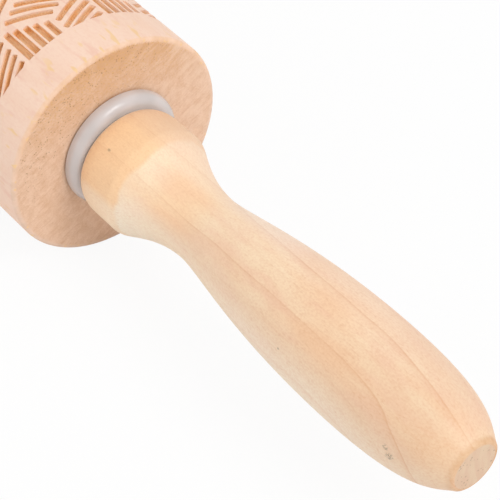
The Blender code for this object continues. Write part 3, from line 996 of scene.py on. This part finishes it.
@dataclass
class Handle:
    """Turned handle: base rim, straight collar, neck, club-shaped grip and flat end, with a blind bore.

    The outline has four curved stretches. Each share says how far a stretch leans on one of its ends.
    The bore was drilled a little askew, so the turned outside leans against the axle.
    """

    side: Side
    lathe: Lathe
    base_radius: float = 9.85 * MM
    collar_radius: float = 11.05 * MM
    neck_radius: float = 6.7 * MM
    grip_radius: float = 10.4 * MM
    end_radius: float = 4.8 * MM
    base_to_collar: float = 3.2 * MM
    collar_width: float = 5.6 * MM
    collar_to_neck: float = 15.3 * MM
    neck_to_grip: float = 40.6 * MM
    bore_radius: float = 6 * MM
    bore_depth: float = 12.3 * MM
    base_round: float = 0.25 * MM
    # Angles in degrees at which the rounded edges meet the outline
    base_round_from: float = 110
    base_round_steps: int = 4
    end_round: float = 1.1 * MM
    end_round_to: float = 50
    end_round_steps: int = 6
    base_rise_share: float = 0.5
    base_collar_share: float = 0.6
    collar_neck_share: float = 0.08
    neck_collar_share: float = 0.54
    neck_grip_share: float = 0.12
    grip_neck_share: float = 0.56
    grip_end_share: float = 0.79
    end_depth_share: float = 0.14
    end_rise_share: float = 0.39
    curve_points: int = 30
    lean: float = 0.0095
    lean_centre: float = 150 * MM

    def __post_init__(self) -> None:
        """Takes the handle's place and length from its node."""
        low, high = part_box(self.side.node("handle"))
        self.base, self.tip = sorted((abs(low.x), abs(high.x)))
        self.axle_height = self.lathe.axle_height
        self.flat_radius = self.end_radius - self.end_round / 2

    def outline(self) -> Outline:
        """Lists the outline.

        Returns:
            The points from the middle of the flat end to the bottom of the bore.
        """
        length = self.tip - self.base
        collar = self.base_to_collar
        shoulder = collar + self.collar_width
        neck = shoulder + self.collar_to_neck
        grip = neck + self.neck_to_grip
        last = length - grip
        end_rise = self.end_rise_share * (self.grip_radius - self.end_radius)
        base_rise = self.base_rise_share * (self.collar_radius - self.base_radius)
        to_grip = curve((length, self.end_radius),
                        (length - self.end_depth_share * last, self.end_radius + end_rise),
                        (grip + self.grip_end_share * last, self.grip_radius),
                        (grip, self.grip_radius), self.curve_points)
        to_neck = curve((grip, self.grip_radius),
                        (grip - self.grip_neck_share * self.neck_to_grip, self.grip_radius),
                        (neck + self.neck_grip_share * self.neck_to_grip, self.neck_radius),
                        (neck, self.neck_radius), self.curve_points)
        to_collar = curve((neck, self.neck_radius),
                          (neck - self.neck_collar_share * self.collar_to_neck, self.neck_radius),
                          (shoulder + self.collar_neck_share * self.collar_to_neck, self.collar_radius),
                          (shoulder, self.collar_radius), self.curve_points)
        to_base = curve((collar, self.collar_radius),
                        (collar - self.base_collar_share * self.base_to_collar, self.collar_radius),
                        (0, self.base_radius + base_rise),
                        (0, self.base_radius), self.curve_points)
        rim = [point for point in to_grip + to_neck[1:] + to_collar[1:] + to_base
               if self.base_round < point[0] < length - self.end_round]
        end = [(length, 0), (length, self.flat_radius)]
        end += arc((length - self.end_round, self.flat_radius), self.end_round, 0, self.end_round_to,
                   self.end_round_steps)[1:]
        base = arc((self.base_round, self.base_radius - self.base_round / 2),
                   self.base_round, self.base_round_from, 180, self.base_round_steps)
        bore = [(0, self.bore_radius), (self.bore_depth, self.bore_radius), (self.bore_depth, 0)]
        return end + rim + base + bore

    def build(self) -> bpy.types.Object:
        """Models the handle in its node's place and leans its outside.

        Returns:
            The piece.
        """
        piece = self.lathe.turn(self.side.node("turned_handle"), self.outline(), self.side, self.base)
        take(piece)
        bpy.ops.object.mode_set(mode="EDIT")
        select(Element.VERT, lambda vertex: not self.in_bore(vertex))
        centre = (self.side.value * self.lean_centre, 0, self.axle_height)
        bpy.ops.transform.rotate(value=self.side.value * self.lean, orient_axis="Y",
                                 center_override=centre)
        bpy.ops.object.mode_set(mode="OBJECT")
        settle(piece)
        return piece

    def in_bore(self, vertex: bmesh.types.BMVert) -> bool:
        """Says whether a vertex belongs to the bore.

        Args:
            vertex: a vertex of the handle.

        Returns:
            True for the bore's vertices.
        """
        from_axle = math.hypot(vertex.co.y, vertex.co.z - self.axle_height)
        in_depth = abs(vertex.co.x) < self.base + self.bore_depth + WELD_DISTANCE
        return in_depth and from_axle < self.bore_radius + WELD_DISTANCE

    def dress(self, piece: bpy.types.Object, material: bpy.types.Material) -> None:
        """Puts the handle on the handles' body."""
        mount(piece, self.side.node("handle"), Body.HANDLES, material)


@dataclass
class Hatch:
    """Engraved lozenge hatch, worked out on the unrolled barrel as (along, round, height) places.

    Six lozenges meet in a star. The stars stand in columns, each shifted by half a star. A lozenge has
    one of three directions and is filled with grooves along one of its sides.
    """

    cell_side: float = 10.2 * MM
    margin: float = 9.2 * MM
    groove_width: float = 1.25 * MM
    depth: float = 1.2 * MM
    end_inset: float = 0.55 * MM
    corner_round: float = 0.3 * MM
    corner_steps: int = 2
    overrun: float = 0.4 * MM
    least_length: float = 0.4 * MM
    floor_share: float = 0.9
    length_cuts: int = 5
    star_angle: float = math.radians(120)
    # Angle between the directions, and distance of two stars in a column in sides of a lozenge
    sixth: float = math.tau / 6
    star_step: float = math.sqrt(3)
    # Places of the grooves across a lozenge, for the three directions
    groove_shares: tuple[tuple[float, ...], ...] = (
        (0.112, 0.29, 0.484, 0.657, 0.86), (0.2, 0.42, 0.61, 0.85), (0.2, 0.42, 0.61, 0.85))

    def groove(self, length: float) -> bpy.types.Object:
        """Models one groove's cutter: a bar with rounded upright corners, drawn in towards its floor.

        Args:
            length: length of the groove at the surface.

        Returns:
            The bar, along X, with the barrel's surface at height zero.
        """
        deselect_all()
        height = self.depth + self.overrun
        bpy.ops.mesh.primitive_cube_add(size=1, scale=(length, self.groove_width, height),
                                        location=(0, 0, self.overrun - height / 2))
        bar = bpy.context.object
        bar.name = "groove"
        bpy.ops.object.transform_apply(location=True, rotation=True, scale=True)
        bpy.ops.object.mode_set(mode="EDIT")
        select(Element.EDGE, lambda edge: abs(edge.verts[0].co.z - edge.verts[1].co.z) > height / 2)
        bpy.ops.mesh.bevel(offset=self.corner_round, segments=self.corner_steps, affect="EDGES")
        select(Element.FACE, lambda face: face.normal.z < -FACING)
        floor_length = length - self.depth * (1 - self.floor_share)
        bpy.ops.transform.resize(value=(floor_length / length, self.floor_share, 1))
        for cut in range(self.length_cuts):
            bpy.ops.mesh.select_all(action="SELECT")
            place = length * ((cut + 1) / (self.length_cuts + 1) - 0.5)
            bpy.ops.mesh.bisect(plane_co=(place, 0, 0), plane_no=(1, 0, 0))
        bpy.ops.object.mode_set(mode="OBJECT")
        return bar

    def places(self, girth: float, half: float) -> list[tuple[Matrix, float]]:
        """Lists where each groove lies on the unrolled barrel.

        Args:
            girth: length once round the barrel.
            half: half of the barrel's length.

        Returns:
            For each groove its matrix and its reach along the barrel.
        """
        stars_round = round(girth / (self.star_step * self.cell_side))
        side = girth / (self.star_step * stars_round)
        steps = [Matrix.Rotation(turn * self.sixth, 3, "Z") @ Vector((side, 0, 0))
                 for turn in range(len(self.groove_shares) + 1)]
        columns = math.ceil(half / side)
        found = []
        for column in range(-columns, columns + 1):
            for row in range(stars_round):
                star = column * (steps[0] + steps[1]) + row * (steps[1] + steps[2])
                for direction, shares in enumerate(self.groove_shares):
                    for share in shares:
                        middle = star + steps[direction] / 2 + share * steps[direction + 1]
                        turn = Matrix.Rotation(direction * self.sixth, 4, "Z")
                        found.append((Matrix.Translation(middle) @ turn, abs(steps[direction].x) / 2))
        return found

    def cutter(self, radius: float, half: float, axle_height: float) -> bpy.types.Object:
        """Copies the groove to all its places, trims it at the margins and wraps all round the barrel.

        Args:
            radius: the barrel's radius.
            half: half of the barrel's length.
            axle_height: height of the axle.

        Returns:
            One object with all the grooves.
        """
        limit = half - self.margin
        girth = math.tau * radius
        bar = self.groove(self.cell_side - 2 * self.end_inset)
        copies = []
        for matrix, reach in self.places(girth, half):
            along = matrix.translation.x
            if min(along + reach, limit) - max(along - reach, -limit) < self.least_length:
                continue
            copy = bar.copy()
            copy.data = bar.data.copy()
            copy.data.transform(matrix)
            bpy.context.scene.collection.objects.link(copy)
            copies.append(copy)
        bpy.data.objects.remove(bar)
        deselect_all()
        for copy in copies:
            copy.select_set(True)
        bpy.context.view_layer.objects.active = copies[0]
        bpy.ops.object.join()
        cutter = bpy.context.object
        cutter.name = "hatch_cutter"
        bpy.ops.object.mode_set(mode="EDIT")
        for end in (-1, 1):
            bpy.ops.mesh.select_all(action="SELECT")
            bpy.ops.mesh.bisect(plane_co=(end * limit, 0, 0), plane_no=(end, 0, 0), use_fill=True,
                                clear_outer=True)
        bpy.ops.object.mode_set(mode="OBJECT")
        for vertex in cutter.data.vertices:
            along, round_way, height = vertex.co
            angle = self.star_angle - round_way / radius
            reach = radius + height
            vertex.co = (along, reach * math.cos(angle), axle_height + reach * math.sin(angle))
        return cutter


@dataclass
class Barrel:
    """Turned beech barrel with eased edges, a through bore, a pocket at each end and the engraved hatch."""

    axle_height: float
    hatch: Hatch
    radius: float = 22.5 * MM
    edge_ease: float = 0.7 * MM
    edge_steps: int = 5
    pocket_radius: float = 8.3 * MM
    pocket_depth: float = 12 * MM
    bore_radius: float = 5.2 * MM
    sides: int = 192

    def __post_init__(self) -> None:
        """Takes the barrel's length from its node."""
        low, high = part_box("barrel")
        self.half = (high.x - low.x) / 2

    def is_disc(self, face: bmesh.types.BMFace) -> bool:
        """Says whether a face is one of the blank's round flat ones."""
        return abs(face.normal.x) > FACING and len(face.verts) == self.sides

    def blank(self) -> bpy.types.Object:
        """Models the barrel before it is engraved.

        Returns:
            The blank.
        """
        deselect_all()
        bpy.ops.mesh.primitive_cylinder_add(vertices=self.sides, radius=self.radius, depth=2 * self.half,
                                            location=(0, 0, self.axle_height), rotation=(0, math.pi / 2, 0))
        blank = bpy.context.object
        blank.name = "engraved_barrel"
        bpy.ops.object.transform_apply(location=True, rotation=True, scale=True)
        bpy.ops.object.mode_set(mode="EDIT")
        select(Element.EDGE, lambda edge: abs(edge.verts[0].co.x - edge.verts[1].co.x) < MM)
        bpy.ops.mesh.bevel(offset=self.edge_ease, segments=self.edge_steps, affect="EDGES")
        for end in (-1, 1):
            select(Element.FACE, lambda face: self.is_disc(face) and face.normal.x * end > 0)
            bpy.ops.mesh.inset(thickness=self.radius - self.edge_ease - self.pocket_radius)
            inwards = (-end * self.pocket_depth, 0, 0)
            bpy.ops.mesh.extrude_region_move(TRANSFORM_OT_translate={"value": inwards})
            bpy.ops.mesh.inset(thickness=self.pocket_radius - self.bore_radius)
        select(Element.FACE, self.is_disc)
        bpy.ops.mesh.bridge_edge_loops()
        bpy.ops.mesh.select_all(action="SELECT")
        bpy.ops.mesh.normals_make_consistent(inside=False)
        bpy.ops.object.mode_set(mode="OBJECT")
        return blank

    def build(self) -> bpy.types.Object:
        """Models the barrel and cuts the hatch into it.

        Returns:
            The piece.
        """
        barrel = self.blank()
        cutter = self.hatch.cutter(self.radius, self.half, self.axle_height)
        take(barrel)
        bpy.ops.object.modifier_add(type="BOOLEAN")
        engrave = barrel.modifiers[-1]
        engrave.operation = "DIFFERENCE"
        engrave.solver = "MANIFOLD"
        engrave.object = cutter
        bpy.ops.object.modifier_apply(modifier=engrave.name)
        bpy.data.objects.remove(cutter)
        settle(barrel)
        return barrel

    def dress(self, piece: bpy.types.Object) -> None:
        """Puts the barrel on the roller."""
        mount(piece, "barrel", Body.ROLLER, EngravedBeech().material(self))


@dataclass
class HiddenMetal:
    """The rod and the two inserts, whose CAD nodes stay and get their finish."""

    axle_height: float

    def dress(self) -> None:
        """Gives each metal node its material."""
        steel = DrawnSteel().material(self.axle_height)
        brass = MachinedBrass().material(self.axle_height)
        finishes = {"axle_rod": steel, "handle_insert_left": brass, "handle_insert_right": brass}
        for name, material in finishes.items():
            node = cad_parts[name]
            node.data.materials.clear()
            node.data.materials.append(material)
            log.info("%s: the CAD node in %s", name, material.name)


# Studio


@dataclass(frozen=True)
class AreaLight:
    """A square soft box that points at the pin."""

    name: str
    azimuth: float
    elevation: float
    distance: float
    size: float
    power: float

    def build(self, target: Vector) -> None:
        """Hangs the light.

        Args:
            target: the point that it faces.
        """
        data = bpy.data.lights.new(self.name, "AREA")
        data.shape = "SQUARE"
        data.size = self.size
        data.energy = self.power
        light = bpy.data.objects.new(self.name, data)
        bpy.context.scene.collection.objects.link(light)
        azimuth, elevation = math.radians(self.azimuth), math.radians(self.elevation)
        flat = math.cos(elevation)
        away = Vector((flat * math.cos(azimuth), flat * math.sin(azimuth), math.sin(elevation)))
        light.location = target + self.distance * away
        light.rotation_euler = away.to_track_quat("Z", "Y").to_euler()


@dataclass
class Studio:
    """White floor, soft light from all round and the camera of the photograph."""

    target: Vector
    floor_height: float
    floor_width: float = 4.0
    floor_colour: str = "F4F4F4"
    floor_glow: float = 0.92
    sky_strength: float = 0.62
    sky_colour: str = "FFFFFF"
    camera_place: tuple[float, float, float] = (304.36 * MM, -147.18 * MM, 262.94 * MM)
    camera_azimuth: float = math.radians(51.54)
    camera_elevation: float = math.radians(45.02)
    lens_mm: float = 142.31
    sensor_mm: float = 36
    clip_start: float = 10 * MM
    lights: tuple[AreaLight, ...] = (
        AreaLight("key_box", azimuth=13, elevation=46, distance=1.1, size=0.5, power=4.9),
        AreaLight("side_box", azimuth=-110, elevation=32, distance=1.2, size=0.9, power=2.3),
        AreaLight("back_box", azimuth=95, elevation=55, distance=1.2, size=0.9, power=0.8),
    )

    def build(self) -> None:
        """Makes the floor, the sky, the lights and the camera."""
        self.floor()
        self.sky()
        for light in self.lights:
            light.build(self.target)
        self.camera()
        bpy.context.scene.view_settings.view_transform = "Standard"

    def floor(self) -> None:
        """Lays the floor: a white sheet that glows for the camera and still keeps the shadow."""
        deselect_all()
        bpy.ops.mesh.primitive_plane_add(size=self.floor_width, location=(0, 0, self.floor_height))
        sheet = bpy.context.object
        sheet.name = "studio_floor"
        bpy.ops.object.transform_apply(location=True, rotation=True, scale=True)
        material = bpy.data.materials.new("matt_white_paper")
        material.use_nodes = True
        tree = material.node_tree
        tree.nodes.clear()
        seen = add_node(tree, "LightPath", output="Is Camera Ray")
        share = add_node(tree, "Math", {0: seen, 1: self.floor_glow}, operation="MULTIPLY")
        paper = add_node(tree, "BsdfDiffuse", {"Color": self.floor_colour})
        glow = add_node(tree, "Emission", {"Color": "FFFFFF", "Strength": 1})
        surface = add_node(tree, "MixShader", {0: share, 1: paper, 2: glow})
        add_node(tree, "OutputMaterial", {"Surface": surface})
        sheet.data.materials.append(material)

    def sky(self) -> None:
        """Makes the world: even light, and white where the camera or a gloss sees it."""
        world = bpy.data.worlds.new("studio_white")
        bpy.context.scene.world = world
        world.use_nodes = True
        tree = world.node_tree
        tree.nodes.clear()
        seen = add_node(tree, "LightPath", output="Is Camera Ray")
        for way in ("Is Glossy Ray", "Is Transmission Ray"):
            also = add_node(tree, "LightPath", output=way)
            seen = add_node(tree, "Math", {0: seen, 1: also}, operation="MAXIMUM")
        light = add_node(tree, "Background", {"Color": self.sky_colour, "Strength": self.sky_strength})
        white = add_node(tree, "Background", {"Color": "FFFFFF", "Strength": 1})
        surface = add_node(tree, "MixShader", {0: seen, 1: light, 2: white})
        add_node(tree, "OutputWorld", {"Surface": surface})

    def camera(self) -> None:
        """Sets the camera where the photograph was taken."""
        data = bpy.data.cameras.new("photo_camera")
        data.lens = self.lens_mm
        data.sensor_width = self.sensor_mm
        data.clip_start = self.clip_start
        data.dof.use_dof = False
        camera = bpy.data.objects.new("photo_camera", data)
        bpy.context.scene.collection.objects.link(camera)
        camera.location = self.camera_place
        camera.rotation_euler = (math.pi / 2 - self.camera_elevation, 0, self.camera_azimuth)
        bpy.context.scene.camera = camera


def main() -> None:
    """Builds and dresses every piece, then the studio."""
    low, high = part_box("axle_rod")
    axle_height = (low.z + high.z) / 2
    barrel = Barrel(axle_height, Hatch())
    studio = Studio(target=Vector((barrel.half, 0, axle_height)), floor_height=axle_height - barrel.radius)
    studio.build()
    barrel.dress(barrel.build())
    lathe = Lathe(axle_height)
    nylon = MouldedNylon().material(axle_height)
    birch = OiledBirch().material(Handle(Side.RIGHT, lathe))
    for side in Side:
        bushing = Bushing(side, lathe)
        bushing.dress(bushing.build(), nylon)
        handle = Handle(side, lathe)
        handle.dress(handle.build(), birch)
    HiddenMetal(axle_height).dress()


if __name__ == "__main__":
    logging.basicConfig(level=logging.INFO, format="%(message)s")
    main()
